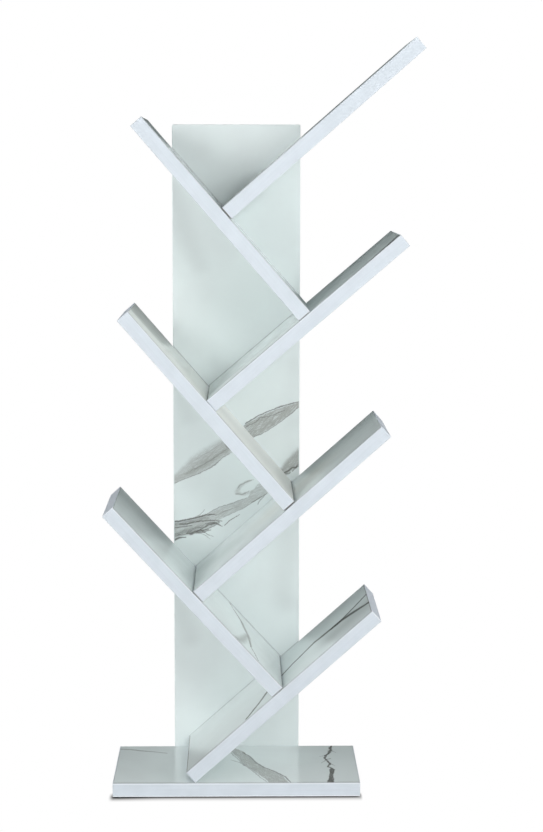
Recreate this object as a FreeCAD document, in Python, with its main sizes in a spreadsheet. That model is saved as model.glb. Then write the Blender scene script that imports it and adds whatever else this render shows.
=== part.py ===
"""Tree shaped bookshelf of marble-look laminated board.

Seven equal shelf boards zigzag up the front of a narrow back panel. Each board's square foot butts on the
upper face of the board below it, the lowest one stands on its corner on a level base board, and all of
them are screwed from behind through the panel. Every narrow face carries a plain edge band.

Millimetres and degrees, +Z up, front towards -Y. The origin is on the floor, under the middle of the
whole width and depth.
"""

import FreeCAD
import Part
import Sketcher
import os

DRIVING_SIZES = (
    ("board_length", 315, "shelf board from foot to tip, over its edging"),
    ("board_depth", 160, "shelf board from front to panel, over its edging"),
    ("board_thickness", 18, "shelf board"),
    ("base_length", 315, "base board, over its edging"),
    ("base_lead", 0, "base board's front edge ahead of the shelf boards'"),
    ("base_thickness", 18, "base board"),
    ("panel_width", 167, "back panel, over its edging"),
    ("panel_thickness", 18, "back panel"),
    ("panel_rise", 111.8, "panel's top above the foot of the top board"),
    ("panel_corner", 2, "radius of the panel's corners"),
    ("tilt", 41.5, "slope of the boards that rise to the right; the others stand square to them"),
    ("turn_right_4", 0.2, "how far each board is turned out of square, anticlockwise from the front"),
    ("turn_left_3", 1.1, "the same"),
    ("turn_right_3", 0.13, "the same"),
    ("turn_left_2", -0.5, "the same"),
    ("turn_right_2", -0.9, "the same"),
    ("turn_left_1", -0.5, "the same"),
    ("turn_right_1", -0.37, "the same"),
    ("foot_offset", 52.3, "lowest board's bottom corner, left of the base's middle"),
    ("foot_gap", 0.05, "lowest board's bottom corner above the base"),
    ("seat_right_4", 156.35, "from a board's foot to where the next board's foot stands on it"),
    ("seat_left_3", 159.1, "the same"),
    ("seat_right_3", 162.5, "the same"),
    ("seat_left_2", 159.1, "the same"),
    ("seat_right_2", 160.2, "the same"),
    ("seat_left_1", 158.1, "the same"),
    ("joint_gap", 0.3, "hairline in most butt joints"),
    ("open_joint_gap", 0.8, "wider line in the joints that show one"),
    ("band_thickness", 1, "edge band"),
    ("band_chamfer", 0.7, "trimmed outer edge of an edge band"),
    ("screw_diameter", 7, "connecting screw's shank"),
    ("screw_length", 50, "connecting screw, over its head"),
    ("screw_point", 3, "tapered end of the shank"),
    ("point_diameter", 4, "blunt end of the taper"),
    ("head_diameter", 10, "countersunk head"),
    ("head_rim", 0.5, "straight rim of the head"),
    ("head_sunk", 0.2, "head below the panel's rear face"),
    ("socket_corners", 4.6, "hexagon socket across its corners"),
    ("socket_depth", 2.5, "hexagon socket"),
    ("screw_clearance", 0.1, "screw to the wall of its bore, all round"),
    ("screw_play", 1, "bore beyond the screw's end"),
    ("screw_end", 30, "first screw from a board's foot"),
    ("screw_edge", 30, "nearest a screw comes to the panel's side"),
    ("base_screw_spacing", 110, "between the two screws in the base"),
    ("dowel_diameter", 8, "joint dowel"),
    ("dowel_length", 32, "joint dowel"),
    ("dowel_in_face", 12, "length of a dowel below the face it enters"),
    ("dowel_chamfer", 0.8, "dowel's ends"),
    ("dowel_clearance", 0.3, "dowel to the wall of its bore, all round"),
    ("dowel_play", 0.5, "bore beyond the dowel's end"),
    ("dowel_edge", 45, "dowel from the board's front or rear edge"),
    ("pad_diameter", 20, "foot pad"),
    ("pad_thickness", 2, "foot pad"),
    ("pad_chamfer", 0.4, "foot pad's lower edge"),
    ("pad_inset", 25, "foot pad's centre from the base's edges"),
)

# The shelf boards from the floor up; each one but the lowest stands on the one before it.
BOARDS = ("right_4", "left_3", "right_3", "left_2", "right_2", "left_1", "right_1")
OPEN_JOINTS = ("left_2", "right_1")
SCREWS_PER_BOARD = ("first", "second")
HEXAGON = 6

doc = FreeCAD.newDocument("tree_bookshelf")
sizes = doc.addObject("Spreadsheet::Sheet", "sizes")
layout = doc.addObject("Spreadsheet::Sheet", "layout")


# Sheets

def fill_sizes():
    """One row for each driving dimension: its name, its value and what it measures."""
    for row, (alias, value, meaning) in enumerate(DRIVING_SIZES, start=1):
        sizes.set(f"A{row}", alias)
        sizes.set(f"B{row}", str(value))
        sizes.setAlias(f"B{row}", alias)
        sizes.set(f"C{row}", meaning)


def add_place(alias, formula):
    """A further row of the layout sheet: a place worked out from the driving dimensions."""
    add_place.row += 1
    layout.set(f"A{add_place.row}", alias)
    layout.set(f"B{add_place.row}", f"={formula}")
    layout.setAlias(f"B{add_place.row}", alias)


add_place.row = 0


def side(board):
    """1 for a board that rises to the right, -1 for one that rises to the left."""
    return 1 if board.startswith("right") else -1


def joint_gap(board):
    """The size that holds the gap under a board's foot."""
    return "sizes.open_joint_gap" if board in OPEN_JOINTS else "sizes.joint_gap"


def fill_layout():
    """Where each board's foot stands, measured from the base's middle, and where the screws go."""
    half_board = "sizes.board_thickness / 2"
    add_place("base_top", "sizes.pad_thickness + sizes.base_thickness")
    add_place("base_depth", "sizes.board_depth + sizes.base_lead")
    below = None
    for board in BOARDS:
        square = "0" if side(board) > 0 else "90"
        add_place(f"heading_{board}", f"sizes.tilt + {square} + sizes.turn_{board}")
        add_place(f"normal_x_{board}", f"{-side(board)} * sin(heading_{board})")
        add_place(f"normal_z_{board}", f"{side(board)} * cos(heading_{board})")
        if below is None:
            add_place(f"foot_x_{board}", f"{half_board} * normal_x_{board} - sizes.foot_offset")
            add_place(f"foot_z_{board}", f"base_top + sizes.foot_gap + {half_board} * normal_z_{board}")
        else:
            out_of_square = f"abs(cos(heading_{board} - heading_{below}))"
            add_place(f"lift_{board}", f"{half_board} * (1 + {out_of_square}) + {joint_gap(board)}")
            along_x = f"sizes.seat_{below} * cos(heading_{below})"
            along_z = f"sizes.seat_{below} * sin(heading_{below})"
            add_place(f"foot_x_{board}", f"foot_x_{below} + {along_x} + lift_{board} * normal_x_{below}")
            add_place(f"foot_z_{board}", f"foot_z_{below} + {along_z} + lift_{board} * normal_z_{below}")
        reach = f"sizes.board_length * cos(heading_{board}) - {half_board} * normal_x_{board}"
        add_place(f"tip_x_{board}", f"foot_x_{board} + {reach}")
        below = board

    tips = "; ".join(f"tip_x_{board}" for board in BOARDS)
    add_place("left_end", f"min({tips}; -sizes.base_length / 2)")
    add_place("right_end", f"max({tips}; sizes.base_length / 2)")
    add_place("middle_x", "(left_end + right_end) / 2")
    add_place("panel_y", "(max(sizes.board_depth; base_depth) - sizes.panel_thickness) / 2")
    add_place("panel_height", f"foot_z_{BOARDS[-1]} + sizes.panel_rise - sizes.pad_thickness")
    add_place("panel_left", "-sizes.panel_width / 2 - middle_x")

    add_place("screw_reach", "sizes.panel_width / 2 - sizes.screw_edge")
    for board in BOARDS:
        ahead = f"{side(board)} * foot_x_{board}"
        slope = f"abs(cos(heading_{board}))"
        add_place(f"first_{board}", f"max(sizes.screw_end; (-screw_reach - {ahead}) / {slope})")
        add_place(f"second_{board}", f"(screw_reach - {ahead}) / {slope}")
        for screw in SCREWS_PER_BOARD:
            along = f"{screw}_{board}"
            add_place(f"x_{along}", f"foot_x_{board} + {along} * cos(heading_{board}) - middle_x")
            add_place(f"z_{along}", f"foot_z_{board} + {along} * sin(heading_{board})")
    add_place("first_base", "(sizes.base_length - sizes.base_screw_spacing) / 2")
    add_place("second_base", "(sizes.base_length + sizes.base_screw_spacing) / 2")
    for screw in SCREWS_PER_BOARD:
        add_place(f"x_{screw}_base", f"{screw}_base - sizes.base_length / 2 - middle_x")
        add_place(f"z_{screw}_base", "sizes.pad_thickness + sizes.base_thickness / 2")
    add_place("screw_bore", "sizes.screw_diameter + 2 * sizes.screw_clearance")
    add_place("dowel_bore", "sizes.dowel_diameter + 2 * sizes.dowel_clearance")
    in_board = "sizes.screw_length - sizes.panel_thickness + sizes.head_sunk"
    add_place("screw_bore_depth", f"{in_board} + sizes.screw_play")


# Small helpers

def placed(thing, x="0", y="0", z="0", axis=(0, 0, 1), angle="0"):
    """Binds an object's place to expressions."""
    spin = f"rotation(vector({axis[0]}; {axis[1]}; {axis[2]}); {angle})"
    thing.setExpression("Placement", f"placement(vector({x}; {y}; {z}); {spin})")
    return thing


def primitive(kind, label, **bound):
    """A primitive whose properties are bound to expressions."""
    thing = doc.addObject(f"Part::{kind}", label)
    for name, expression in bound.items():
        thing.setExpression(name, expression)
    return thing


def compound(label, members):
    """Separate solids kept together as one sub-part."""
    group = doc.addObject("Part::Compound", label)
    group.Links = members
    return group


def cut(label, base, tools):
    """The base with every tool taken out of it."""
    result = doc.addObject("Part::Cut", label)
    result.Base = base
    result.Tool = compound(f"{label}_tools", tools)
    return result


def chamfered(label, base, alias, wanted):
    """The base with the edges that pass the test trimmed by a size of the sheet."""
    doc.recompute()
    trim = float(sizes.get(alias))
    picked = [number for number, edge in enumerate(base.Shape.Edges, start=1) if wanted(edge)]
    result = doc.addObject("Part::Chamfer", label)
    result.Base = base
    result.Edges = [(number, trim, trim) for number in picked]
    return result


def repeated(label, master, places):
    """Copies of one master, each at its own place, as one sub-part of separate solids."""
    copies = []
    for number, place in enumerate(places, start=1):
        copy = doc.addObject("App::Link", f"{label}_{number}")
        copy.LinkedObject = master
        copies.append(placed(copy, **place))
    return compound(label, copies)


def new_sketch(body, label, plane, offset="0"):
    """A sketch on one of the body's own origin planes, moved along the plane's normal."""
    sketch = body.newObject("Sketcher::SketchObject", label)
    support = next(item for item in body.Origin.OriginFeatures if item.Role == plane)
    sketch.AttachmentSupport = (support, [""])
    sketch.MapMode = "FlatFace"
    sketch.setExpression("AttachmentOffset.Base.z", offset)
    return sketch


def constrain(sketch, name, expression, *arguments):
    """A dimension of the sketch, bound to an expression."""
    number = sketch.addConstraint(Sketcher.Constraint(*arguments))
    sketch.renameConstraint(number, name)
    sketch.setExpression(f"Constraints.{name}", expression)


def add_rectangle(sketch, left, low, width, height):
    """A rectangle in the first quarter of the sketch, with its four dimensions bound."""
    corners = [(1, 1), (2, 1), (2, 2), (1, 2)]
    points = [FreeCAD.Vector(x, y, 0) for x, y in corners]
    for number in range(len(points)):
        sketch.addGeometry(Part.LineSegment(points[number - 1], points[number]))
    for number in range(len(points)):
        following = (number + 1) % len(points)
        sketch.addConstraint(Sketcher.Constraint("Coincident", number, 2, following, 1))
        sketch.addConstraint(Sketcher.Constraint("Horizontal" if number % 2 else "Vertical", number))
    constrain(sketch, "left", left, "DistanceX", -1, 1, 0, 2, 1)
    constrain(sketch, "low", low, "DistanceY", -1, 1, 0, 2, 1)
    constrain(sketch, "width", width, "DistanceX", 1, 1, 1, 2, 1)
    constrain(sketch, "height", height, "DistanceY", 2, 1, 2, 2, 1)


def add_circles(sketch, diameter, centres):
    """Circles at bound centres; a centre with no height lies on the sketch's horizontal axis."""
    for number, (across, up) in enumerate(centres):
        circle = Part.Circle(FreeCAD.Vector(1 + number, 0, 0), FreeCAD.Vector(0, 0, 1), 1)
        sketch.addGeometry(circle)
        constrain(sketch, f"diameter_{number}", diameter, "Diameter", number, 1)
        constrain(sketch, f"across_{number}", across, "DistanceX", -1, 1, number, 3, 1)
        if up is None:
            sketch.addConstraint(Sketcher.Constraint("PointOnObject", number, 3, -1))
        else:
            constrain(sketch, f"up_{number}", up, "DistanceY", -1, 1, number, 3, 1)


def add_pocket(body, sketch, depth, reverse):
    """A pocket that has to take material away."""
    doc.recompute()
    before = body.Shape.Volume
    pocket = body.newObject("PartDesign::Pocket", f"{sketch.Name}_pocket")
    pocket.Profile = sketch
    pocket.Reversed = reverse
    pocket.setExpression("Length", depth)
    doc.recompute()
    if not body.Shape.Volume < before:
        raise RuntimeError(f"{pocket.Name} cuts nothing")


# Boards, in a frame of their own: X from foot to tip, Y from front to rear, Z about the middle plane

def shelf(board):
    """What makes one shelf board differ from the others."""
    below = BOARDS[BOARDS.index(board) - 1] if board != BOARDS[0] else None
    dowel_depth = f"sizes.dowel_length - sizes.dowel_in_face - {joint_gap(board)} + sizes.dowel_play"
    return {
        "label": f"shelf_{board}",
        "length": "sizes.board_length",
        "depth": "sizes.board_depth",
        "thickness": "sizes.board_thickness",
        "foot_bore_depth": dowel_depth if below else None,
        "seat": f"sizes.seat_{board}" if board != BOARDS[-1] else None,
        "upper_side": side(board),
        "screws": [f"layout.{screw}_{board}" for screw in SCREWS_PER_BOARD],
        "place": {
            "x": f"layout.foot_x_{board} - layout.middle_x",
            "y": "layout.panel_y - sizes.board_depth",
            "z": f"layout.foot_z_{board}",
            "axis": (0, -1, 0),
            "angle": f"layout.heading_{board}",
        },
    }


def base():
    """The base board, built like a shelf but level and without dowels."""
    return {
        "label": "base",
        "length": "sizes.base_length",
        "depth": "layout.base_depth",
        "thickness": "sizes.base_thickness",
        "foot_bore_depth": None,
        "seat": None,
        "upper_side": 1,
        "screws": [f"layout.{screw}_base" for screw in SCREWS_PER_BOARD],
        "place": {
            "x": "-sizes.base_length / 2 - layout.middle_x",
            "y": "layout.panel_y - layout.base_depth",
            "z": "sizes.pad_thickness + sizes.base_thickness / 2",
        },
    }


def dowel_depths(depth):
    """The two places of the dowels across a board's depth."""
    return ["sizes.dowel_edge", f"{depth} - sizes.dowel_edge"]


def make_core(board, label):
    """The laminated board itself, bored for its screws and dowels."""
    band = "sizes.band_thickness"
    body = doc.addObject("PartDesign::Body", label)
    outline = new_sketch(body, f"{label}_outline", "XY_Plane")
    inside = [f"{board[size]} - 2 * {band}" for size in ("length", "depth")]
    add_rectangle(outline, band, band, *inside)
    pad = body.newObject("PartDesign::Pad", f"{label}_pad")
    pad.Profile = outline
    pad.SideType = "Symmetric"
    pad.setExpression("Length", board["thickness"])

    rear = new_sketch(body, f"{label}_screw_bores", "XZ_Plane", f"-({board['depth']})")
    add_circles(rear, "layout.screw_bore", [(along, None) for along in board["screws"]])
    add_pocket(body, rear, "layout.screw_bore_depth", True)
    if board["foot_bore_depth"]:
        foot = new_sketch(body, f"{label}_foot_bores", "YZ_Plane")
        add_circles(foot, "layout.dowel_bore", [(depth, None) for depth in dowel_depths(board["depth"])])
        add_pocket(body, foot, board["foot_bore_depth"], True)
    if board["seat"]:
        face = f"{board['upper_side']} * {board['thickness']} / 2"
        seat = new_sketch(body, f"{label}_seat_bores", "XY_Plane", face)
        centres = [(board["seat"], depth) for depth in dowel_depths(board["depth"])]
        add_circles(seat, "layout.dowel_bore", centres)
        add_pocket(body, seat, "sizes.dowel_in_face + sizes.dowel_play", board["upper_side"] < 0)
    return placed(body, **board["place"])


def make_strip(label, size, corner, outer, along):
    """One straight edge band, trimmed along its outer edges.

    size and corner are expressions for X, Y and Z. outer names the outward side, such as "YMin", and
    along the directions of the edges that are trimmed there.
    """
    bar = primitive("Box", f"{label}_bar", Length=size[0], Width=size[1], Height=size[2])
    placed(bar, *corner)
    doc.recompute()
    level = getattr(bar.Shape.BoundBox, outer)
    axis = outer[0]

    def at_outer_edge(edge):
        centre = getattr(edge.CenterOfMass, axis.lower())
        spans = edge.BoundBox
        lengths = {"X": spans.XLength, "Y": spans.YLength, "Z": spans.ZLength}
        return abs(centre - level) < Part.Precision.confusion() and max(lengths, key=lengths.get) in along

    return chamfered(label, bar, "band_chamfer", at_outer_edge)


def bores(label, radius, length, centres, axis, angle):
    """Bars that bore a strip, each from its centre along the turned direction."""
    bars = []
    for number, (x, y, z) in enumerate(centres, start=1):
        bar = primitive("Cylinder", f"{label}_{number}", Radius=radius, Height=length)
        bars.append(placed(bar, x, y, z, axis, angle))
    return bars


def make_edging(board, label):
    """Edge bands on all four edges of a board: front and rear over the full length, ends in between."""
    band = "sizes.band_thickness"
    length, depth, thick = board["length"], board["depth"], board["thickness"]
    low = f"-({thick}) / 2"
    between = f"{depth} - 2 * {band}"
    front = make_strip(f"{label}_front", (length, band, thick), ("0", "0", low), "YMin", "XZ")
    rear_corner = ("0", f"{depth} - {band}", low)
    rear = make_strip(f"{label}_rear", (length, band, thick), rear_corner, "YMax", "XZ")
    foot = make_strip(f"{label}_foot", (band, between, thick), ("0", band, low), "XMin", "Y")
    tip_corner = (f"{length} - {band}", band, low)
    tip = make_strip(f"{label}_tip", (band, between, thick), tip_corner, "XMax", "Y")

    through = f"2 * {band}"
    rear_centres = [(along, f"{depth} + {band} / 2", "0") for along in board["screws"]]
    rear_bars = bores(f"{label}_rear_bore", "layout.screw_bore / 2", through, rear_centres, (1, 0, 0), "90")
    strips = [front, cut(f"{label}_rear_bored", rear, rear_bars), tip]
    if board["foot_bore_depth"]:
        foot_centres = [(f"-{band} / 2", along, "0") for along in dowel_depths(depth)]
        wide = "layout.dowel_bore / 2"
        foot_bars = bores(f"{label}_foot_bore", wide, through, foot_centres, (0, 1, 0), "90")
        foot = cut(f"{label}_foot_bored", foot, foot_bars)
    strips.append(foot)
    return placed(compound(label, strips), **board["place"])


# Back panel, in a frame of its own: X from its left side, Y from front to rear, Z from its lower end

PANEL_PLACE = {"x": "layout.panel_left", "y": "layout.panel_y", "z": "sizes.pad_thickness"}


def all_screws():
    """The name of every screw in the layout."""
    return [f"{screw}_{board}" for board in ("base",) + BOARDS for screw in SCREWS_PER_BOARD]


def make_panel(label):
    """The upright panel with a countersunk hole for every screw."""
    band = "sizes.band_thickness"
    body = doc.addObject("PartDesign::Body", label)
    outline = new_sketch(body, f"{label}_outline", "XZ_Plane")
    inside = [f"{size} - 2 * {band}" for size in ("sizes.panel_width", "layout.panel_height")]
    add_rectangle(outline, band, band, *inside)
    pad = body.newObject("PartDesign::Pad", f"{label}_pad")
    pad.Profile = outline
    pad.Reversed = True
    pad.setExpression("Length", "sizes.panel_thickness")

    drilled = new_sketch(body, f"{label}_drilled", "XZ_Plane", "-sizes.panel_thickness")
    left, low = "layout.panel_left", "sizes.pad_thickness"
    centres = [(f"layout.x_{at} - {left}", f"layout.z_{at} - {low}") for at in all_screws()]
    add_circles(drilled, "layout.screw_bore", centres)
    doc.recompute()
    before = body.Shape.Volume
    hole = body.newObject("PartDesign::Hole", f"{label}_holes")
    hole.Profile = drilled
    hole.Reversed = True
    hole.DepthType = "ThroughAll"
    hole.HoleCutType = "Countersink"
    hole.HoleCutCustomValues = True
    hole.HoleCutCountersinkAngle = 90
    hole.setExpression("Diameter", "layout.screw_bore")
    head = "sizes.head_rim + sizes.head_sunk + 2 * sizes.screw_clearance"
    hole.setExpression("HoleCutDiameter", f"sizes.head_diameter + 2 * ({head})")
    doc.recompute()
    if not body.Shape.Volume < before:
        raise RuntimeError("the panel's holes cut nothing")
    return placed(body, **PANEL_PLACE)


def make_panel_edging(label):
    """Edge bands of the panel: both sides over the full height, the ends in between, corners rounded."""
    band = "sizes.band_thickness"
    width, thick, height = "sizes.panel_width", "sizes.panel_thickness", "layout.panel_height"
    between = f"{width} - 2 * {band}"
    strips = [
        make_strip(f"{label}_left", (band, thick, height), ("0", "0", "0"), "XMin", "YZ"),
        make_strip(f"{label}_right", (band, thick, height), (f"{width} - {band}", "0", "0"), "XMax", "YZ"),
        make_strip(f"{label}_low", (between, thick, band), (band, "0", "0"), "ZMin", "X"),
        make_strip(f"{label}_top", (between, thick, band), (band, "0", f"{height} - {band}"), "ZMax", "X"),
    ]
    outline = primitive("Box", f"{label}_outline", Length=width, Width=thick, Height=height)
    doc.recompute()

    def is_corner(edge):
        return edge.BoundBox.YLength > Part.Precision.confusion()

    corners = [number for number, edge in enumerate(outline.Shape.Edges, start=1) if is_corner(edge)]
    radius = float(sizes.get("panel_corner"))
    rounded = doc.addObject("Part::Fillet", f"{label}_rounded")
    rounded.Base = outline
    rounded.Edges = [(number, radius, radius) for number in corners]
    trimmed = []
    for strip in strips:
        kept = doc.addObject("Part::Common", f"{strip.Label}_trimmed")
        kept.Base = strip
        kept.Tool = rounded
        trimmed.append(kept)
    return placed(compound(label, trimmed), **PANEL_PLACE)


# Fasteners and feet

def make_screws(label):
    """Connecting screws: countersunk head with a hexagon socket, shank and blunt point, along -Z."""
    shank = "sizes.screw_diameter / 2"
    head = "sizes.head_diameter / 2"
    cone = f"({head} - {shank})"
    point_start = "sizes.screw_length - sizes.screw_point"
    rim = primitive("Cylinder", f"{label}_rim", Radius=head, Height="sizes.head_rim")
    placed(rim, z="-sizes.head_rim")
    taper = primitive("Cone", f"{label}_taper", Radius1=shank, Radius2=head, Height=cone)
    placed(taper, z=f"-sizes.head_rim - {cone}")
    neck = f"sizes.head_rim + {cone}"
    body = primitive("Cylinder", f"{label}_shank", Radius=shank, Height=f"{point_start} - ({neck})")
    placed(body, z=f"-({point_start})")
    blunt = "sizes.point_diameter / 2"
    point = primitive("Cone", f"{label}_point", Radius1=blunt, Radius2=shank, Height="sizes.screw_point")
    placed(point, z="-sizes.screw_length")
    whole = doc.addObject("Part::MultiFuse", f"{label}_whole")
    whole.Shapes = [rim, taper, body, point]
    whole.Refine = True
    socket = primitive("Prism", f"{label}_socket", Circumradius="sizes.socket_corners / 2")
    socket.Polygon = HEXAGON
    socket.setExpression("Height", "2 * sizes.socket_depth")
    placed(socket, z="-sizes.socket_depth")
    master = cut(f"{label}_one", whole, [socket])
    rear = "layout.panel_y + sizes.panel_thickness - sizes.head_sunk"
    turned = {"axis": (-1, 0, 0), "angle": "90"}
    places = [{"x": f"layout.x_{at}", "y": rear, "z": f"layout.z_{at}", **turned} for at in all_screws()]
    return repeated(label, master, places)


def make_dowels(label):
    """Two dowels in every butt joint, in line with the board that stands there."""
    radius = "sizes.dowel_diameter / 2"
    bar = primitive("Cylinder", f"{label}_bar", Radius=radius, Height="sizes.dowel_length")

    def is_round_end(edge):
        return edge.isClosed()

    master = chamfered(f"{label}_one", bar, "dowel_chamfer", is_round_end)
    places = []
    for board in BOARDS[1:]:
        heading = f"layout.heading_{board}"
        start = f"(sizes.dowel_in_face + {joint_gap(board)})"
        for depth in dowel_depths("sizes.board_depth"):
            places.append({
                "x": f"layout.foot_x_{board} - layout.middle_x - {start} * cos({heading})",
                "y": f"layout.panel_y - sizes.board_depth + {depth}",
                "z": f"layout.foot_z_{board} - {start} * sin({heading})",
                "axis": (0, 1, 0),
                "angle": f"90 - {heading}",
            })
    return repeated(label, master, places)


def make_pads(label):
    """A round pad under each corner of the base."""
    radius = "sizes.pad_diameter / 2"
    disc = primitive("Cylinder", f"{label}_disc", Radius=radius, Height="sizes.pad_thickness")

    def is_lower_rim(edge):
        return edge.isClosed() and abs(edge.CenterOfMass.z) < Part.Precision.confusion()

    master = chamfered(f"{label}_one", disc, "pad_chamfer", is_lower_rim)
    across = "sizes.base_length / 2 - sizes.pad_inset"
    near = "layout.panel_y - layout.base_depth + sizes.pad_inset"
    far = "layout.panel_y - sizes.pad_inset"
    places = []
    for hand in "-+":
        for depth in (near, far):
            places.append({"x": f"{hand}({across}) - layout.middle_x", "y": depth})
    return repeated(label, master, places)


def build():
    """Makes every sub-part and returns them by the name of their file."""
    fill_sizes()
    doc.recompute()
    fill_layout()
    doc.recompute()
    parts = [make_panel("back_panel"), make_panel_edging("back_panel_edging")]
    parts += [make_core(base(), "base_board"), make_edging(base(), "base_edging")]
    for board in BOARDS:
        label = f"shelf_{board}"
        parts += [make_core(shelf(board), label), make_edging(shelf(board), f"{label}_edging")]
    parts += [make_screws("panel_screws"), make_dowels("joint_dowels"), make_pads("foot_pads")]
    doc.recompute()
    return {part.Label: part for part in parts}


def check(parts):
    """Stops if anything in the document failed or a sub-part has no sound shape."""
    for thing in doc.Objects:
        if {"Invalid", "Error"} & set(thing.State):
            raise RuntimeError(f"{thing.Name} failed: {thing.State}")
    for label, part in parts.items():
        if part.Shape.isNull() or not part.Shape.isValid() or not part.Shape.Solids:
            raise RuntimeError(f"{label} has no sound shape")


def write(parts):
    """One file for each sub-part."""
    os.makedirs("parts", exist_ok=True)
    for label, part in parts.items():
        part.Shape.exportStep(f"parts/{label}.step")


sub_parts = build()
check(sub_parts)
write(sub_parts)
whole_box = FreeCAD.BoundBox()
for sub_part in sub_parts.values():
    whole_box.add(sub_part.Shape.BoundBox)
print(f"{len(sub_parts)} sub-parts in {whole_box}")
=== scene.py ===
"""Tree shaped bookshelf: materials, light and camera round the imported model.

Every board keeps its CAD solid. Its laminate and its edge band are painted in the board's own axes, in
millimetres: along a shelf board from foot to tip, across it from the front edge to the rear one, and out of
its middle plane. Along the base and the panel is from left to right, and across the panel is upwards.
"""

import math
from collections import namedtuple

import bpy
import numpy as np
from mathutils import Matrix, Vector

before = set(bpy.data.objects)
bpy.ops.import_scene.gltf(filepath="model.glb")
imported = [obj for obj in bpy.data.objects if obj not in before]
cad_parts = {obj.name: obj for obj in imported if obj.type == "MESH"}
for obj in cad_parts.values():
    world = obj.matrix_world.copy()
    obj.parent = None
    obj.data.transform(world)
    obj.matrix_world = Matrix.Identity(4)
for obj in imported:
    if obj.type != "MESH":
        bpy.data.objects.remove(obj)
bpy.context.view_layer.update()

MM = 0.001
WHITE = (1.0, 1.0, 1.0, 1.0)
UP = Vector((0, 0, 1))

# Photograph's camera
IMAGE_WIDTH = 543
IMAGE_HEIGHT = 832
FOCAL_PIXELS = 1936.1
SENSOR_MM = 36.0
CAMERA_PLACE = Vector((-26.35, -2472.2, 794.0)) * MM
CAMERA_YAW = math.radians(0.92)
CAMERA_PITCH = math.radians(-7.26)
CAMERA_ROLL = math.radians(-0.08)
CAMERA_CLIP = (0.1, 50.0)

# Boards
SHELVES = ("right_1", "left_1", "right_2", "left_2", "right_3", "left_3", "right_4")
BAND_MM = 1.0

# How strongly lines show on each board: painted shade in the joint at its front band's foot, a dark line at
# its upper edge that is partly glue line and partly painted shade, a painted highlight under that edge and
# along the lower one, dark glue lines on its laminate at the foot and at the tip, where the band has a
# painted highlight too, a dark line at the front that is partly glue line and partly painted shade, and a
# painted shadow line on the panel behind its upper face
Lines = namedtuple("Lines", "band_foot band_upper lip lower_lip foot tip front seat")
LINES = {
    "right_1": Lines(0.95, 0.15, 0.1, 0.2, 0.9, 0.1, 0.3, 0.0),
    "left_1": Lines(0.5, 0.3, 0.1, 0.2, 0.9, 0.1, 0.35, 0.3),
    "right_2": Lines(0.0, 0.35, 0.25, 0.2, 0.9, 0.1, 0.5, 0.4),
    "left_2": Lines(0.95, 0.42, 0.15, 0.2, 0.9, 0.1, 0.35, 0.45),
    "right_3": Lines(0.55, 0.42, 0.1, 0.2, 0.9, 0.1, 0.35, 0.15),
    "left_3": Lines(0.55, 0.5, 0.35, 0.2, 0.75, 0.45, 0.4, 0.35),
    "right_4": Lines(0.0, 0.42, 0.15, 0.2, 0.9, 0.8, 0.35, 0.3),
    "base": Lines(0.0, 0.35, 0.7, 1.0, 0.15, 0.15, 0.35, 0.0),
}
# Where along a board the line on the panel behind it shows, if not all along: from the board that stands on
# it, or up to that board
SEAT_REACH = {"left_1": (150, 317), "left_2": (150, 317), "left_3": (0, 150)}
# Half the width of that line, and how far it lies above the board's upper face
SEAT_HALF = 0.9
SEAT_ABOVE = 0.4
# Where the dark line at a front band's upper edge pauses, at its tip or under the foot of the board on it,
# and how far it fades there
LINE_PAUSES = {"right_1": (293, 333), "left_2": (148, 168)}
PAUSE_FADE = 1
# Between which distances from an edge the lines on the laminate fade
FOOT_LINE = (0.4, 1.4)
TIP_LINE = (0.2, 1.2)
FRONT_LINE = (1.0, 4.0)
# Between which distances from an edge the lines and painted highlights of a band fade, and where its front
# face and its tip end stop
BAND_FOOT_SHADE = (0.7, 1.3)
BAND_UPPER_LINE = (0.5, 0.85)
UPPER_HIGHLIGHT_STARTS = (0.7, 0.9)
UPPER_HIGHLIGHT_ENDS = (1.4, 2.0)
LOWER_HIGHLIGHT = (0.9, 1.6)
TIP_HIGHLIGHT = (0.6, 1.2)
FRONT_FACE = (0.4, 0.75)
TIP_END = (0.2, 0.6)
TIP_END_FRONT = (0.4, 1.0)
# Between which distances from a board's middle plane its print changes from the hidden side to the shown one
SIDES = (-1.0, 1.0)

# Gloss: how glossy the laminate of some boards is at the front and the rear of their foot, the same for
# their tip, and between which places along and across the board that changes
Gloss = namedtuple("Gloss", "foot tip along across")
GLOSS = {
    "right_1": Gloss((0.5, 0.5), (0.0, 0.0), (225, 305), (0, 160)),
    "right_2": Gloss((0.0, 0.1), (0.35, 0.3), (165, 260), (30, 150)),
    "left_2": Gloss((0.0, 0.0), (0.0, 0.5), (200, 320), (45, 165)),
    "right_3": Gloss((0.5, 0.36), (0.5, 0.36), (0, 300), (30, 150)),
    "left_3": Gloss((0.15, 0.5), (0.15, 0.5), (0, 300), (0, 120)),
    "right_4": Gloss((0.5, 0.3), (0.5, 0.3), (0, 300), (40, 150)),
}
BAND_GLOSS = 0.3

# Roughness, from and to where it changes, and relief: how strong and how high in metres
LAMINATE_ROUGHNESS = (0.165, 0.205)
BAND_ROUGHNESS = (0.46, 0.54)
ZINC_ROUGHNESS = (0.25, 0.42)
BEECH_ROUGHNESS = 0.75
PAD_ROUGHNESS = 0.8
LAMINATE_RELIEF = (0.02, 0.0002)
BAND_RELIEF = (0.05, 0.0004)
PAD_RELIEF = (0.2, 0.0002)

# Noise: cells in a millimetre on the boards and in a metre on the hardware, its middle, and the values
# between which a look changes
CLOUD_CELLS = 0.012
MOTTLE_CELLS = 0.05
LAMINATE_GRAIN_CELLS = 1.3
BAND_GRAIN_CELLS = (0.02, 0.02, 0.5)
ZINC_CELLS = 700.0
BEECH_CELLS = (600, 3000, 600)
PAD_CELLS = 2500.0
NOISE_MIDDLE = 0.5
NOISE_RANGE = (0.3, 0.7)
CLOUD_RANGE = (0.35, 0.7)
BAND_RANGE = (0.35, 0.65)

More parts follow.
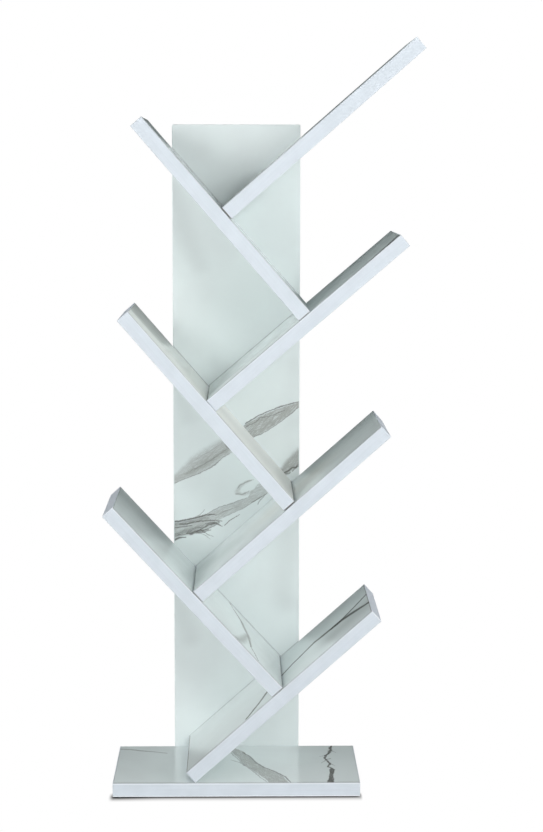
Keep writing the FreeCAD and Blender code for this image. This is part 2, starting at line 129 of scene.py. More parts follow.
# Colours, linear
LAMINATE = (0.82, 0.886, 0.882, 1.0)
LAMINATE_SHADE = (0.785, 0.84, 0.84, 1.0)
VEIN = (0.27, 0.265, 0.245, 1.0)
# Dark veins of the print; the same dark paints the shadow lines on the panel and the shade near one tip
DARK_VEIN_AND_SHADE = (0.10, 0.095, 0.085, 1.0)
# Painted shade: the grey of the broad soft patches where shadows fall on the boards and the panel
PAINTED_SHADE_GREY = (0.27, 0.29, 0.29, 1.0)
WARM = (0.88, 0.86, 0.81, 1.0)
# Glue lines, and painted shade in the joints and along some edges
GLUE_LINE_AND_SHADE = (0.13, 0.098, 0.07, 1.0)
BAND = (0.63, 0.68, 0.735, 1.0)
BAND_SHADE = (0.59, 0.64, 0.69, 1.0)
# Painted highlight on the edges of the front bands
BAND_HIGHLIGHT = (0.88, 0.91, 0.94, 1.0)
# Painted light: a lighter, bluer tone on the bands' tip ends
BAND_END_LIGHT = (0.81, 0.855, 0.93, 1.0)
ZINC = (0.62, 0.62, 0.63, 1.0)
ZINC_SHADE = (0.5, 0.51, 0.54, 1.0)
BEECH = (0.62, 0.42, 0.24, 1.0)
BEECH_FLECK = (0.72, 0.55, 0.36, 1.0)
PAD_RUBBER = (0.03, 0.03, 0.032, 1.0)
PAD_GRIT = (0.055, 0.055, 0.058, 1.0)
FLOOR_GREY = (0.8, 0.8, 0.8, 1.0)

# Soft boxes round the object: azimuth in degrees from the front, height in metres, watts
SOFT_BOXES = {
    "left": (-25, 0.9, 7.0),
    "left_low": (-50, 0.3, 8.5),
    "left_middle": (-50, 1.5, 20.0),
    "left_high": (-75, 2.1, 13.0),
    "front": (0, 0.9, 2.2),
    "front_high": (0, 2.1, 8.0),
    "right": (25, 1.5, 29.0),
    "right_low": (50, 0.3, 15.0),
    "right_high": (75, 2.1, 20.5),
    "back": (180, 0.2, 48.0),
}
BOX_DISTANCE = 2.7
BOX_SIZE = 1.0
BOX_AIM = Vector((0, 0, 0.5))
AMBIENT = (0.05, 0.064, 0.064, 1.0)

# Floor: half its width in metres
FLOOR_HALF = 4.0
# Shade before the base, in millimetres from its front edge and its ends: how long its left end is, where it
# is darkest there and beyond, where it has faded, and where it starts and stops beside and under the base
SHADE_LEFT_END = 75.0
SHADE_DARKEST = (-8.0, -17.0)
SHADE_FADED = 15.0
SHADE_LEFT = (-6.5, 1.0)
SHADE_RIGHT = (0, 4)
SHADE_REAR = (-26.0, -6.0)
# Shade in the gap under the base: how near in metres the base has to be, how open the floor is where it has
# faded, how dark it gets, and where it starts and stops in millimetres from the base's ends
GAP_REACH = 0.012
GAP_SAMPLES = 16
GAP_OPEN = 0.6
GAP_DARKEST = 0.7
GAP_LEFT = (-4.0, 3.0)
GAP_RIGHT = (-4, 2)


# Node graphs

class Graph:
    """A node tree under construction. A value is a number, a colour, a vector or another node's output."""

    def __init__(self, tree):
        self.tree = tree

    def put(self, socket, value):
        if isinstance(value, bpy.types.NodeSocket):
            self.tree.links.new(value, socket)
        else:
            socket.default_value = value

    def add(self, kind, inputs=None, **settings):
        made = self.tree.nodes.new(kind)
        for name, value in settings.items():
            setattr(made, name, value)
        for name, value in (inputs or {}).items():
            self.put(made.inputs[name], value)
        return made

    def math(self, operation, *values):
        made = self.add("ShaderNodeMath", operation=operation)
        for socket, value in zip(made.inputs, values):
            self.put(socket, value)
        return made.outputs["Value"]

    def vector(self, operation, *values):
        made = self.add("ShaderNodeVectorMath", operation=operation)
        for socket, value in zip(made.inputs, values):
            self.put(socket, value)
        return made.outputs["Vector"]

    def dot(self, first, second):
        made = self.add("ShaderNodeVectorMath", {0: first, 1: second}, operation="DOT_PRODUCT")
        return made.outputs["Value"]

    def length(self, value):
        return self.add("ShaderNodeVectorMath", {0: value}, operation="LENGTH").outputs["Value"]

    def scaled(self, vector, factor):
        made = self.add("ShaderNodeVectorMath", {"Vector": vector, "Scale": factor}, operation="SCALE")
        return made.outputs["Vector"]

    def combined(self, x, y, z):
        return self.add("ShaderNodeCombineXYZ", {"X": x, "Y": y, "Z": z}).outputs["Vector"]

    def separated(self, vector):
        return self.add("ShaderNodeSeparateXYZ", {"Vector": vector}).outputs

    def noise(self, vector, scale, detail=2.0, roughness=0.5):
        inputs = {"Vector": vector, "Scale": scale, "Detail": detail, "Roughness": roughness}
        return self.add("ShaderNodeTexNoise", inputs).outputs

    def ramp(self, value, low, high, to_low=0.0, to_high=1.0):
        """A smooth step from low to high."""
        inputs = {"Value": value, "From Min": low, "From Max": high, "To Min": to_low, "To Max": to_high}
        return self.add("ShaderNodeMapRange", inputs, interpolation_type="SMOOTHSTEP").outputs["Result"]

    def mix(self, factor, first, second):
        made = self.add("ShaderNodeMix", data_type="RGBA")
        for socket, value in zip((made.inputs[0], made.inputs[6], made.inputs[7]), (factor, first, second)):
            self.put(socket, value)
        return made.outputs[2]


def new_material(name, colour):
    """A material with an empty Principled shader, and the graph to feed it."""
    made = bpy.data.materials.new(name)
    made.use_nodes = True
    made.diffuse_color = colour
    graph = Graph(made.node_tree)
    shader = made.node_tree.nodes["Principled BSDF"]
    return made, graph, shader


def add_relief(graph, shader, height, strength, distance):
    """A faint relief on a shader's surface."""
    bump = graph.add("ShaderNodeBump", {"Height": height, "Strength": strength, "Distance": distance})
    graph.put(shader.inputs["Normal"], bump.outputs["Normal"])


def dress(node, material):
    """The material on a CAD node."""
    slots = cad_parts[node].data.materials
    slots.clear()
    slots.append(material)


# Faces: a board's own axes

class Face:
    """Where a board lies: its origin in metres and its axes, and its sizes in millimetres."""

    def __init__(self, node, along, across):
        points = np.array([vertex.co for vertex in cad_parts[node].data.vertices])
        self.axes = [Vector(along).normalized(), Vector(across).normalized()]
        normal = self.axes[0].cross(self.axes[1])
        self.axes.append(normal if normal.z >= 0 else -normal)
        reach = [points @ np.array(axis) for axis in self.axes]
        low = [span.min() for span in reach]
        high = [span.max() for span in reach]
        middle = (low[2] + high[2]) / 2
        self.origin = self.axes[0] * low[0] + self.axes[1] * low[1] + self.axes[2] * middle
        self.length = (high[0] - low[0]) / MM
        self.depth = (high[1] - low[1]) / MM
        self.thickness = (high[2] - low[2]) / MM

    def place(self, along, across, out):
        """The point in the frame, in metres, of a place on the board in millimetres."""
        steps = (along, across, out)
        return self.origin + sum((axis * step * MM for axis, step in zip(self.axes, steps)), Vector())

    def find(self, point):
        """The place on the board, in millimetres, of a point in the frame."""
        return [(point - self.origin).dot(axis) / MM for axis in self.axes]

    def coordinates(self, graph):
        """The shaded point along, across and out of the board, in millimetres."""
        here = graph.add("ShaderNodeTexCoord").outputs["Object"]
        moved = graph.vector("SUBTRACT", here, self.origin)
        return graph.combined(*[graph.dot(moved, axis / MM) for axis in self.axes])


def slope(node):
    """The way up a shelf board's length: the main axis of its points, seen from the front."""
    points = np.array([vertex.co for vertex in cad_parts[node].data.vertices])[:, [0, 2]]
    values, directions = np.linalg.eigh(np.cov(points.T))
    main = directions[:, values.argmax()]
    main = main if main[1] > 0 else -main
    return Vector((main[0], 0, main[1]))


def faces():
    """Every board's face, by the board's name."""
    found = {
        "base": Face("base_edging", (1, 0, 0), (0, 1, 0)),
        "panel": Face("back_panel_edging", (1, 0, 0), (0, 0, 1)),
    }
    for shelf in SHELVES:
        edging = f"shelf_{shelf}_edging"
        found[shelf] = Face(edging, slope(edging), (0, 1, 0))
    return found


# Marble laminate

# Noise that shakes the veins: cells in a millimetre, and its reach in millimetres
WARPS = ((0.035, 4.0), (0.16, 2.4), (0.55, 1.6))
# Fine strands inside a vein: their slants to it in radians, the noise's cells in a millimetre along and
# across them, how far apart the noise lies for each slant, and how far from its middle a strand reaches
HATCH_SLANTS = (-0.22, 0.3)
HATCH_ALONG = 0.04
HATCH_ACROSS = 0.5
HATCH_APART = 10
HATCH_LEVEL = 0.09
# The share of a strand's width that is left at its end
STRAND_END = 0.5


class Stroke:
    """A vein, painted shade or painted shadow line on a face: points along and across it, each with its half
    width.

    Its border fades over the share soft of that half width. Of the strength, the share fill is even and the
    rest comes in fine strands. Noise shakes it as much as ragged says. A stroke on one side shows only on
    the side that the photograph shows.
    """

    def __init__(self, points, strength, soft=0.8, fill=1.0, ragged=1.0, tone=DARK_VEIN_AND_SHADE, one_sided=False):
        self.points = points
        self.strength = strength
        self.soft = soft
        self.fill = fill
        self.ragged = ragged
        self.tone = tone
        self.one_sided = one_sided

    def direction(self):
        way = Vector(self.points[-1][:2]) - Vector(self.points[0][:2])
        return way.normalized()


def strand(points, half, strength):
    """A thin dark vein of one width that narrows at its end."""
    halves = [half] * (len(points) - 1) + [half * STRAND_END]
    return Stroke([(*point, wide) for point, wide in zip(points, halves)], strength)


def painted_shade(points, strength):
    """A broad soft painted shade: a grey patch laid over the print."""
    return Stroke(points, strength, soft=1.0, tone=PAINTED_SHADE_GREY, one_sided=True)


VEINS_AND_SHADES = {
    "panel": [
        # Painted shadows of the boards on the panel, as broad soft grey patches
        painted_shade([(74, 739, 16), (88, 753, 24), (104, 769, 24), (120, 784, 12)], 0.4),
        painted_shade([(-5, 765, 18), (7, 745, 22), (18, 705, 24), (36, 668, 22)], 0.12),
        painted_shade([(-4, 530, 16), (8, 500, 24), (20, 468, 22)], 0.13),
        painted_shade([(165, 535, 20), (160, 496, 26), (158, 462, 22)], 0.09),
        painted_shade([(160, 340, 26), (152, 274, 34), (147, 219, 28)], 0.15),
        painted_shade([(-2, 262, 18), (8, 215, 24), (22, 168, 22)], 0.12),
        # Upper vein: a grey body that fades to the left, with crisp borders on the right
        Stroke([(-3, 382, 6), (8, 387.5, 8), (19, 395, 12), (30, 403, 15), (44.5, 412.5, 16),
                (64.5, 425, 15), (88, 439, 13)], 0.5, soft=0.6, fill=0.55, tone=VEIN),
        Stroke([(-3, 380.5, 4), (19, 389, 5), (35, 396.5, 6), (54, 408, 6), (75, 423, 6)],
               0.3, soft=0.3, fill=0.5, tone=VEIN),
        Stroke([(16, 391, 3), (30, 400, 7), (44, 409, 10), (62, 420, 11), (88, 436, 11)],
               0.4, soft=1.0, fill=0.5, tone=VEIN),
        strand([(0, 378), (19, 385), (35, 392), (54, 403), (75, 418)], 0.9, 0.55),
        strand([(24, 396), (40, 404), (58, 414), (76, 426)], 0.9, 0.3),
        strand([(30, 410), (48, 421), (66, 432)], 0.9, 0.25),
        Stroke([(78, 433, 11), (101.5, 448, 10.8), (117.3, 458, 11.0), (131.8, 466, 9.8), (146, 473.2, 7.4),
                (158, 479.5, 4.8), (169, 485.5, 2.4)], 0.74, soft=0.14, fill=0.48, tone=VEIN),
        strand([(95, 457), (112, 468.5), (127, 475.5), (142, 480.5), (155, 484.5), (168, 488)], 1.2, 0.75),
        strand([(107, 440), (121, 447), (135, 456), (148, 465.5), (158, 473.5), (168, 482)], 1.0, 0.6),
        strand([(97, 453), (109, 460), (114, 466), (127, 468), (139, 473), (148, 476)], 0.9, 0.45),
        # Lower vein: a pale body, with a sheaf of strands at its left end and a loop before the board
        Stroke([(-3, 313, 11.5), (22, 320, 11.5), (48.5, 330, 8.7), (64.5, 338, 8.5), (80, 345, 7),
                (101, 355, 5.5), (110, 363, 8.5), (120, 371, 10.5)], 0.52, soft=0.3, fill=0.5, tone=VEIN),
        Stroke([(2, 308, 4), (20, 313, 8), (40, 319, 8), (60, 325, 3)], 0.7, soft=1.0, fill=0.3),
        Stroke([(-4, 322, 5), (20, 325, 6), (44, 331, 5)], 0.5, soft=1.0, fill=0.3),
        strand([(-2, 326), (8, 327), (21, 330), (35, 333), (45, 335), (55, 336)], 1.6, 0.8),
        strand([(8, 323), (21, 324), (35, 327), (48, 328), (64, 326)], 1.3, 0.7),
        Stroke([(17, 309.5, 0.9), (25, 311.5, 2.0), (34, 313.5, 2.3), (46, 315.5, 0.9)], 0.8, fill=0.7),
        Stroke([(42, 323.5, 0.8), (50, 324.5, 1.7), (57, 323.5, 1.9), (65, 319.5, 0.8)], 0.75, fill=0.7),
        strand([(30, 313), (38, 316.5), (46, 321), (54, 324)], 0.9, 0.6),
        strand([(-2, 301), (8, 304), (16, 305)], 2.2, 0.8),
        strand([(21, 309), (32, 311), (40, 312), (49, 315)], 1.5, 0.65),
        strand([(-2, 317), (12, 319), (24, 321)], 1.5, 0.6),
        strand([(35, 316), (45, 308), (53, 305)], 0.9, 0.5),
        strand([(30, 313), (42, 307), (48, 302)], 0.8, 0.4),
        strand([(38, 313), (48, 318), (60, 323)], 1.0, 0.55),
        strand([(24, 330), (36, 336), (41, 342)], 0.8, 0.5),
        strand([(68, 321), (75, 327), (81, 331), (88, 335)], 0.9, 0.7),
        strand([(45, 337), (61, 345.5), (77, 350.5), (98, 359)], 1.0, 0.55),
        strand([(67, 331), (84, 340), (99, 348.5), (112, 356)], 0.9, 0.4),
        strand([(55, 334), (70, 340), (86, 347)], 0.9, 0.4),
        Stroke([(106, 383, 1.5), (96, 379, 3.5), (88, 373, 4.5), (84, 366, 4.5), (92, 363, 3.5),
                (104, 366, 2.5)], 0.4, soft=1.0, fill=0.5, tone=VEIN),
        strand([(85, 371), (88, 375), (94, 378), (104, 382)], 1.1, 0.45),
        strand([(83, 364), (91, 363), (101, 367)], 1.1, 0.45),
        strand([(104, 352), (112, 357), (123, 363)], 1.2, 0.6),
        strand([(112, 349), (115, 355), (124, 364)], 1.1, 0.5),
        # Its right end, beyond the board
        Stroke([(138, 384, 6), (146.5, 393.5, 8), (154, 402, 10.5), (162, 409, 12.5), (170, 416, 13.5)],
               0.72, soft=0.6, fill=0.55, tone=VEIN),
        strand([(147, 392), (153, 395), (158, 399), (163, 399), (167, 402)], 1.7, 0.8),
        strand([(158, 394), (163, 399), (168, 408)], 1.1, 0.6),
        strand([(143, 389), (152, 391), (156, 393)], 1.3, 0.6),
    ],
    "left_2": [
        Stroke([(-10, 80, 115), (325, 80, 115)], 0.5, soft=0.3, tone=WARM, one_sided=True),
        # Painted shade near its foot
        painted_shade([(-10, 80, 120), (60, 80, 110), (130, 80, 60)], 0.16),
    ],
    "right_3": [
        # Painted shade near its foot
        painted_shade([(5, 115, 30), (20, 105, 40), (60, 80, 50)], 0.2),
        Stroke([(140, 80, 70), (200, 80, 70)], 0.5, soft=1.0, tone=WARM, one_sided=True),
    ],
    "left_3": [
        # Painted shade at the rear of its tip
        painted_shade([(235, 135, 55), (318, 125, 75)], 0.32),
        Stroke([(110, 165, 1.2), (103, 162, 1.6), (95, 148, 2.0), (86, 134, 3.0), (77, 121, 4.6),
                (71, 103, 6.0), (65, 85, 6.0), (62, 64, 4.6), (60, 37, 2.6), (53, 26, 1.8), (46, 6, 1.6)],
               0.85, soft=0.8, tone=VEIN),
        Stroke([(88, -4, 9), (78, 20, 10), (73, 40, 9), (67, 74, 7)], 0.6, soft=1.0, tone=VEIN),
        strand([(62, 64), (60, 37), (53, 26), (46, 6)], 1.2, 0.55),
    ],
    "right_4": [
        # Painted shade at the front of its tip
        painted_shade([(250, 45, 45), (318, 50, 60)], 0.3),
        Stroke([(318, 103, 4.5), (293, 90, 5.0), (271, 83, 5.5), (254, 81, 6.5)], 0.8),
        Stroke([(318, 52, 6.0), (306, 56, 6.0), (286, 70, 8.0), (270, 79, 8.5), (254, 81, 7.5),
                (238, 83, 7.0), (222, 87, 6.0), (200, 79, 5.0), (184, 75, 4.4), (168, 66, 4.0),
                (137, 46, 5.0), (123, 25, 5.0), (104, 8, 4.4)], 0.9),
    ],
    "right_2": [
        # Painted shade along the front edge near its tip
        Stroke([(230, 0, 2), (260, 1, 9), (290, 2, 22), (318, 4, 40)],
               0.9, soft=0.9, fill=0.75, one_sided=True),
    ],
    "left_1": [
        # Painted shade on its tip
        painted_shade([(270, 75, 30), (318, 80, 110)], 0.4),
    ],
    "right_1": [
        # Painted shade over its upper face
        painted_shade([(60, 60, 60), (150, 80, 110), (200, 80, 60)], 0.25),
    ],
    "base": [
        Stroke([(-2, 147, 2.4), (16, 145, 3.0), (24, 141, 3.2), (35, 137, 2.8), (47, 134, 2.2),
                (64, 128, 1.6)], 0.5, soft=0.9),
        # Middle vein: a grey body with a dark border on its right
        Stroke([(150, 146, 7), (159, 132, 8.5), (166, 110, 8.7), (172, 88, 9), (182, 66, 9.5),
                (194, 45, 12), (205, 24, 12.9), (213, -3, 13.5)], 0.75, soft=0.15, fill=0.5, tone=VEIN),
        strand([(166, 130), (174, 114), (182, 88), (193, 66), (208, 45), (220, 24), (228, -2)], 2.0, 0.75),
        strand([(150, 128), (161, 92), (171, 68), (185, 33), (198, -2)], 1.4, 0.5),
        strand([(168, 73), (161, 86), (149, 97)], 1.8, 0.5),
        # Right vein: a crack that widens towards the front
        Stroke([(286, 162, 2.2), (284, 146, 2.4), (281, 130, 2.8), (277, 118, 2.4), (275, 102, 2.4),
                (277, 89, 2.4), (279, 82, 2.4), (276, 66, 1.8), (280, 63, 2.0)],
               0.95, soft=0.6, fill=0.75, ragged=1.8),
        Stroke([(281, 60, 2.2), (282, 54, 4.4), (281, 41, 3.2), (279, 26, 3.4), (278, 13, 4.6),
                (277, -2, 5.8)], 0.92, soft=0.4, fill=0.8),
        strand([(282, 101), (274, 96)], 1.6, 0.7),
        strand([(277, 116), (268, 111)], 1.5, 0.6),
        strand([(275, 96), (268, 83)], 1.5, 0.5),
        strand([(283, 138), (290, 128)], 1.3, 0.5),
        strand([(279, 80), (286, 70)], 1.3, 0.5),
    ],
}


def warped(graph, point, ragged):
    """The point shaken by noise of several sizes, so that a vein's edge wanders and frays."""
    flat = graph.vector("MULTIPLY", point, (1, 1, 0))
    for scale, reach in WARPS:
        shake = graph.vector("SUBTRACT", graph.noise(flat, scale)["Color"], [NOISE_MIDDLE] * 3)
        flat = graph.vector("ADD", flat, graph.scaled(shake, reach * ragged))
    return graph.vector("MULTIPLY", flat, (1, 1, 0))


def stroke_depth(graph, point, stroke):
    """1 on the stroke's middle line, 0 at its border and below outside it."""
    deepest = None
    for (ax, ay, a_half), (bx, by, b_half) in zip(stroke.points, stroke.points[1:]):
        start, way = Vector((ax, ay, 0)), Vector((bx - ax, by - ay, 0))
        from_start = graph.vector("SUBTRACT", point, start)
        share = graph.add("ShaderNodeClamp", {"Value": graph.dot(from_start, way / way.length_squared)})
        share = share.outputs["Result"]
        off = graph.vector("SUBTRACT", from_start, graph.scaled(way, share))
        half = graph.math("MULTIPLY_ADD", share, b_half - a_half, a_half)
        depth = graph.math("SUBTRACT", 1.0, graph.math("DIVIDE", graph.length(off), half))
        deepest = depth if deepest is None else graph.math("MAXIMUM", deepest, depth)
    return deepest


def hatched(graph, point, stroke):
    """Fine strands that follow the stroke and cross at a slant: the level lines of a drawn out noise."""
    strands = None
    for slant in HATCH_SLANTS:
        way = Matrix.Rotation(slant, 2) @ stroke.direction()
        along = graph.dot(point, (way.x * HATCH_ALONG, way.y * HATCH_ALONG, 0))
        across = graph.dot(point, (-way.y * HATCH_ACROSS, way.x * HATCH_ACROSS, 0))
        drawn_out = graph.combined(along, across, slant * HATCH_APART)
        level = graph.noise(drawn_out, 1.0, detail=3.0, roughness=0.6)["Fac"]
        off = graph.math("ABSOLUTE", graph.math("SUBTRACT", level, NOISE_MIDDLE))
        here = graph.ramp(off, 0.0, HATCH_LEVEL, 1.0, 0.0)
        strands = here if strands is None else graph.math("MAXIMUM", strands, here)
    return strands


def add_veins_and_shades(graph, point, face, colour, strokes):
    """The colour with every stroke of a face drawn over it.

    The hidden side has the same print, mirrored across the board.
    """
    along, across, out = graph.separated(point)
    shown = graph.ramp(out, *SIDES)
    sign = graph.math("MULTIPLY_ADD", shown, 2.0, -1.0)
    start = graph.math("MULTIPLY_ADD", shown, -face.depth, face.depth)
    point = graph.combined(along, graph.math("MULTIPLY_ADD", across, sign, start), out)
    shaken = {ragged: warped(graph, point, ragged) for ragged in {stroke.ragged for stroke in strokes}}
    for stroke in strokes:
        depth = stroke_depth(graph, shaken[stroke.ragged], stroke)
        mask = graph.ramp(depth, 0.0, stroke.soft, 0.0, stroke.strength)
        if stroke.fill < 1:
            strands = hatched(graph, point, stroke)
            share = graph.math("MULTIPLY_ADD", strands, 1 - stroke.fill, stroke.fill)
            mask = graph.math("MULTIPLY", mask, share)
        if stroke.one_sided:
            mask = graph.math("MULTIPLY", mask, shown)
        colour = graph.mix(mask, colour, stroke.tone)
    return colour


def seat_lines(found):
    """Strokes on the panel: the thin shadow line behind each board's upper face."""
    strokes = []
    for shelf in SHELVES:
        face = found[shelf]
        reach = SEAT_REACH.get(shelf, (0, face.length))
        ends = [face.place(along, face.depth, face.thickness / 2 + SEAT_ABOVE) for along in reach]
        points = [(*found["panel"].find(end)[:2], SEAT_HALF) for end in ends]
        strokes.append(Stroke(points, LINES[shelf].seat, soft=1.0, ragged=0.0, one_sided=True))
    return strokes


def edge_lines(graph, point, face, lines):
    """Where the dark line shows on a board's laminate: glue at its foot and tip, glue and painted shade at
    its front.
    """
    along, across, _ = graph.separated(point)
    foot = graph.ramp(graph.math("SUBTRACT", along, BAND_MM), *FOOT_LINE, lines.foot, 0.0)
    tip = graph.ramp(graph.math("SUBTRACT", face.length - BAND_MM, along), *TIP_LINE, lines.tip, 0.0)
    front = graph.ramp(graph.math("SUBTRACT", across, BAND_MM), *FRONT_LINE, lines.front, 0.0)
    return graph.math("MAXIMUM", graph.math("MAXIMUM", foot, tip), front)


def gloss_level(graph, point, gloss):
    """How glossy a board's laminate is at a place on it."""
    along, across, _ = graph.separated(point)
    front = graph.ramp(along, *gloss.along, gloss.foot[0], gloss.tip[0])
    rear = graph.ramp(along, *gloss.along, gloss.foot[1], gloss.tip[1])
    return graph.ramp(across, *gloss.across, front, rear)


def marble_laminate(name, face, strokes):
    """Satin white marble print: soft clouds, veins, painted shades, and dark glue lines and painted shade by
    the bands.
    """
    made, graph, shader = new_material(f"marble_{name}", LAMINATE)
    point = face.coordinates(graph)
    clouds = graph.noise(graph.vector("ADD", point, face.origin / MM), CLOUD_CELLS, detail=3.0)["Fac"]
    colour = graph.mix(graph.ramp(clouds, *CLOUD_RANGE), LAMINATE, LAMINATE_SHADE)
    colour = add_veins_and_shades(graph, point, face, colour, strokes)
    if name in LINES:
        # Glue lines at the foot and tip, glue line and painted shade at the front
        colour = graph.mix(edge_lines(graph, point, face, LINES[name]), colour, GLUE_LINE_AND_SHADE)
    graph.put(shader.inputs["Base Color"], colour)

    mottle = graph.noise(point, MOTTLE_CELLS)["Fac"]
    graph.put(shader.inputs["Roughness"], graph.ramp(mottle, *NOISE_RANGE, *LAMINATE_ROUGHNESS))
    if name in GLOSS:
        graph.put(shader.inputs["Specular IOR Level"], gloss_level(graph, point, GLOSS[name]))
    grain = graph.noise(point, LAMINATE_GRAIN_CELLS)["Fac"]
    add_relief(graph, shader, grain, *LAMINATE_RELIEF)
    return made


# Edge bands

def band_edges(graph, point, face, name, colour):
    """The band's colour, with painted light on its tip end, painted highlights, and dark glue lines and
    painted shade.
    """
    lines = LINES[name]
    along, across, out = graph.separated(point)
    below = graph.math("SUBTRACT", face.thickness / 2, out)
    above = graph.math("ADD", face.thickness / 2, out)
    from_tip = graph.math("SUBTRACT", face.length, along)
    front = graph.ramp(across, *FRONT_FACE, 1.0, 0.0)
    at_tip = graph.ramp(from_tip, *TIP_END, 1.0, 0.0)
    # Painted light: a lighter, bluer tone on the tip end
    end = graph.math("MULTIPLY", at_tip, graph.ramp(across, *TIP_END_FRONT))
    colour = graph.mix(end, colour, BAND_END_LIGHT)

    # Painted highlights along the front face's upper and lower edges and at its tip
    highlight_starts = graph.ramp(below, *UPPER_HIGHLIGHT_STARTS)
    upper_highlight = graph.math("MULTIPLY", highlight_starts, graph.ramp(below, *UPPER_HIGHLIGHT_ENDS, lines.lip, 0.0))
    lower_lip = graph.ramp(above, *LOWER_HIGHLIGHT, lines.lower_lip, 0.0)
    tip_highlight = graph.ramp(from_tip, *TIP_HIGHLIGHT, lines.tip, 0.0)
    lip = graph.math("MAXIMUM", graph.math("MAXIMUM", upper_highlight, lower_lip), tip_highlight)
    colour = graph.mix(graph.math("MULTIPLY", lip, front), colour, BAND_HIGHLIGHT)

    # Dark line at the upper edge: partly glue line, partly painted shade
    upper = graph.ramp(below, *BAND_UPPER_LINE, lines.band_upper, 0.0)
    if name in LINE_PAUSES:
        low, high = LINE_PAUSES[name]
        off_middle = graph.math("ABSOLUTE", graph.math("SUBTRACT", along, (low + high) / 2))
        half = (high - low) / 2
        beyond = graph.ramp(off_middle, half - PAUSE_FADE, half + PAUSE_FADE)
        upper = graph.math("MULTIPLY", upper, beyond)
    # Painted shade in the joint at the band's foot
    foot = graph.ramp(along, *BAND_FOOT_SHADE, lines.band_foot, 0.0)
    return graph.mix(graph.math("MULTIPLY", graph.math("MAXIMUM", upper, foot), front), colour, GLUE_LINE_AND_SHADE)


def edge_band(name, face):
    """Satin plastic band with a faint lengthwise grain. All but the panel's have painted highlight and
    shade, and glue lines.
    """
    made, graph, shader = new_material(f"edge_band_{name}", BAND)
    point = face.coordinates(graph)
    lengthwise = graph.vector("MULTIPLY", point, BAND_GRAIN_CELLS)
    grain = graph.noise(lengthwise, 1.0, detail=3.0, roughness=0.6)["Fac"]
    mottle = graph.noise(point, MOTTLE_CELLS, detail=3.0)["Fac"]
    tone = graph.math("MULTIPLY_ADD", grain, 0.5, graph.math("MULTIPLY", mottle, 0.5))
    plain, shade = (BAND, BAND_SHADE) if name in LINES else (LAMINATE, LAMINATE_SHADE)
    colour = graph.mix(graph.ramp(tone, *BAND_RANGE), plain, shade)
    if name in LINES:
        colour = band_edges(graph, point, face, name, colour)
    graph.put(shader.inputs["Base Color"], colour)
    graph.put(shader.inputs["Roughness"], graph.ramp(mottle, *NOISE_RANGE, *BAND_ROUGHNESS))
    shader.inputs["Specular IOR Level"].default_value = BAND_GLOSS
    add_relief(graph, shader, mottle, *BAND_RELIEF)
    return made


# Hardware

def zinc_screw():
    """Zinc plated steel, slightly clouded."""
    made, graph, shader = new_material("zinc_screw", ZINC)
    here = graph.add("ShaderNodeTexCoord").outputs["Object"]
    clouds = graph.noise(here, ZINC_CELLS, detail=3.0)["Fac"]
    graph.put(shader.inputs["Base Color"], graph.mix(clouds, ZINC, ZINC_SHADE))
    shader.inputs["Metallic"].default_value = 1.0
    graph.put(shader.inputs["Roughness"], graph.ramp(clouds, *NOISE_RANGE, *ZINC_ROUGHNESS))
    return made


def beech():
    """Raw beech with short flecks along the grain."""
    made, graph, shader = new_material("dowel_beech", BEECH)
    here = graph.add("ShaderNodeTexCoord").outputs["Object"]
    fleck = graph.noise(graph.vector("MULTIPLY", here, BEECH_CELLS), 1.0, detail=3.0)["Fac"]
    graph.put(shader.inputs["Base Color"], graph.mix(fleck, BEECH, BEECH_FLECK))
    shader.inputs["Roughness"].default_value = BEECH_ROUGHNESS
    return made


def pad_rubber():
    """Matt black rubber."""
    made, graph, shader = new_material("pad_rubber", PAD_RUBBER)
    here = graph.add("ShaderNodeTexCoord").outputs["Object"]
    grit = graph.noise(here, PAD_CELLS)["Fac"]
    graph.put(shader.inputs["Base Color"], graph.mix(grit, PAD_RUBBER, PAD_GRIT))
    add_relief(graph, shader, grit, *PAD_RELIEF)
    shader.inputs["Roughness"].default_value = PAD_ROUGHNESS
    return made


def dress_all(found):
    """A material on every CAD node."""
    for name, face in found.items():
        board = {"base": "base_board", "panel": "back_panel"}.get(name, f"shelf_{name}")
        edging = {"base": "base_edging", "panel": "back_panel_edging"}.get(name, f"shelf_{name}_edging")
        strokes = VEINS_AND_SHADES.get(name, []) + (seat_lines(found) if name == "panel" else [])
        dress(board, marble_laminate(name, face, strokes))
        dress(edging, edge_band(name, face))
    dress("panel_screws", zinc_screw())
    dress("joint_dowels", beech())
    dress("foot_pads", pad_rubber())


# Stage

def between(graph, along, left, right):
    """1 between two ends, and 0 beyond the places where each of them starts and stops."""
    return graph.math("MULTIPLY", graph.ramp(along, *left), graph.ramp(along, *right, 1.0, 0.0))


def floor_shade(graph, base):
    """How bright the floor looks: dim close before the base and right under it."""
    along, across, _ = graph.separated(base.coordinates(graph))
    before = graph.math("MULTIPLY", across, -1.0)
    darkest = graph.ramp(along, 0.0, SHADE_LEFT_END, *SHADE_DARKEST)
    fading = graph.ramp(before, darkest, SHADE_FADED)
    beside = between(graph, along, SHADE_LEFT, [base.length + step for step in SHADE_RIGHT])
    reach = graph.math("MULTIPLY", beside, graph.ramp(before, *SHADE_REAR))
    shadow = graph.math("MULTIPLY", reach, graph.math("SUBTRACT", 1.0, fading))
    near = graph.add("ShaderNodeAmbientOcclusion", {"Distance": GAP_REACH}, samples=GAP_SAMPLES)
    gap = graph.ramp(near.outputs["AO"], 0.0, GAP_OPEN, GAP_DARKEST, 0.0)
    below = between(graph, along, GAP_LEFT, [base.length + step for step in GAP_RIGHT])
    under = graph.math("MULTIPLY", below, gap)
    return graph.math("MULTIPLY", graph.math("SUBTRACT", 1.0, under), graph.math("SUBTRACT", 1.0, shadow))


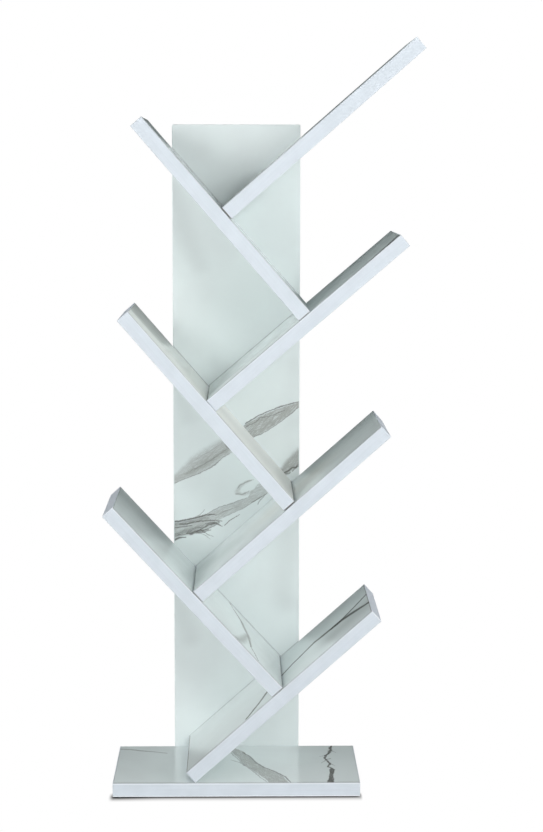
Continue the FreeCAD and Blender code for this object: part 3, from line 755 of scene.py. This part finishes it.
def add_floor(base):
    """A plain white floor that shows only the shadow close to what stands on it."""
    mesh = bpy.data.meshes.new("floor")
    corners = [(x * FLOOR_HALF, y * FLOOR_HALF, 0) for x, y in ((-1, -1), (1, -1), (1, 1), (-1, 1))]
    mesh.from_pydata(corners, [], [(0, 1, 2, 3)])
    floor = bpy.data.objects.new("floor", mesh)
    bpy.context.scene.collection.objects.link(floor)
    made = bpy.data.materials.new("floor_white")
    made.use_nodes = True
    graph = Graph(made.node_tree)
    made.node_tree.nodes.clear()
    seen = graph.add("ShaderNodeEmission", {"Color": WHITE, "Strength": floor_shade(graph, base)})
    lit = graph.add("ShaderNodeBsdfDiffuse", {"Color": FLOOR_GREY})
    ray = graph.add("ShaderNodeLightPath").outputs["Is Camera Ray"]
    both = graph.add("ShaderNodeMixShader", {0: ray, 1: lit.outputs[0], 2: seen.outputs[0]})
    graph.add("ShaderNodeOutputMaterial", {"Surface": both.outputs[0]})
    mesh.materials.append(made)


def add_world():
    """White behind the object, and a dim room for everything else."""
    world = bpy.data.worlds.new("studio")
    bpy.context.scene.world = world
    world.use_nodes = True
    graph = Graph(world.node_tree)
    world.node_tree.nodes.clear()
    ray = graph.add("ShaderNodeLightPath").outputs["Is Camera Ray"]
    colour = graph.mix(ray, AMBIENT, WHITE)
    background = graph.add("ShaderNodeBackground", {"Color": colour, "Strength": 1.0})
    graph.add("ShaderNodeOutputWorld", {"Surface": background.outputs[0]})


def add_lights():
    """Soft boxes on a ring, turned to the object. Those behind it don't show in its gloss."""
    for name, (azimuth, height, watts) in SOFT_BOXES.items():
        data = bpy.data.lights.new(name, "AREA")
        data.shape = "SQUARE"
        data.size = BOX_SIZE
        data.energy = watts
        light = bpy.data.objects.new(name, data)
        turn = math.radians(azimuth)
        light.location = (BOX_DISTANCE * math.sin(turn), -BOX_DISTANCE * math.cos(turn), height)
        light.rotation_euler = (BOX_AIM - light.location).to_track_quat("-Z", "Y").to_euler()
        light.visible_glossy = abs(azimuth) < 90
        bpy.context.scene.collection.objects.link(light)


def add_camera():
    """The photograph's camera."""
    data = bpy.data.cameras.new("photo_camera")
    data.sensor_fit = "AUTO"
    data.sensor_width = SENSOR_MM
    data.lens = FOCAL_PIXELS * SENSOR_MM / max(IMAGE_WIDTH, IMAGE_HEIGHT)
    data.clip_start, data.clip_end = CAMERA_CLIP
    forward = Vector((
        math.sin(CAMERA_YAW) * math.cos(CAMERA_PITCH),
        math.cos(CAMERA_YAW) * math.cos(CAMERA_PITCH),
        math.sin(CAMERA_PITCH),
    ))
    level = forward.cross(UP).normalized()
    right = Matrix.Rotation(CAMERA_ROLL, 3, forward) @ level
    above = right.cross(forward)
    camera = bpy.data.objects.new("photo_camera", data)
    turn = Matrix((right, above, -forward)).transposed().to_4x4()
    camera.matrix_world = Matrix.Translation(CAMERA_PLACE) @ turn
    bpy.context.scene.collection.objects.link(camera)
    bpy.context.scene.camera = camera


boards = faces()
dress_all(boards)
add_floor(boards["base"])
add_world()
add_lights()
add_camera()
bpy.context.scene.view_settings.view_transform = "Standard"
bpy.context.scene.view_settings.look = "None"
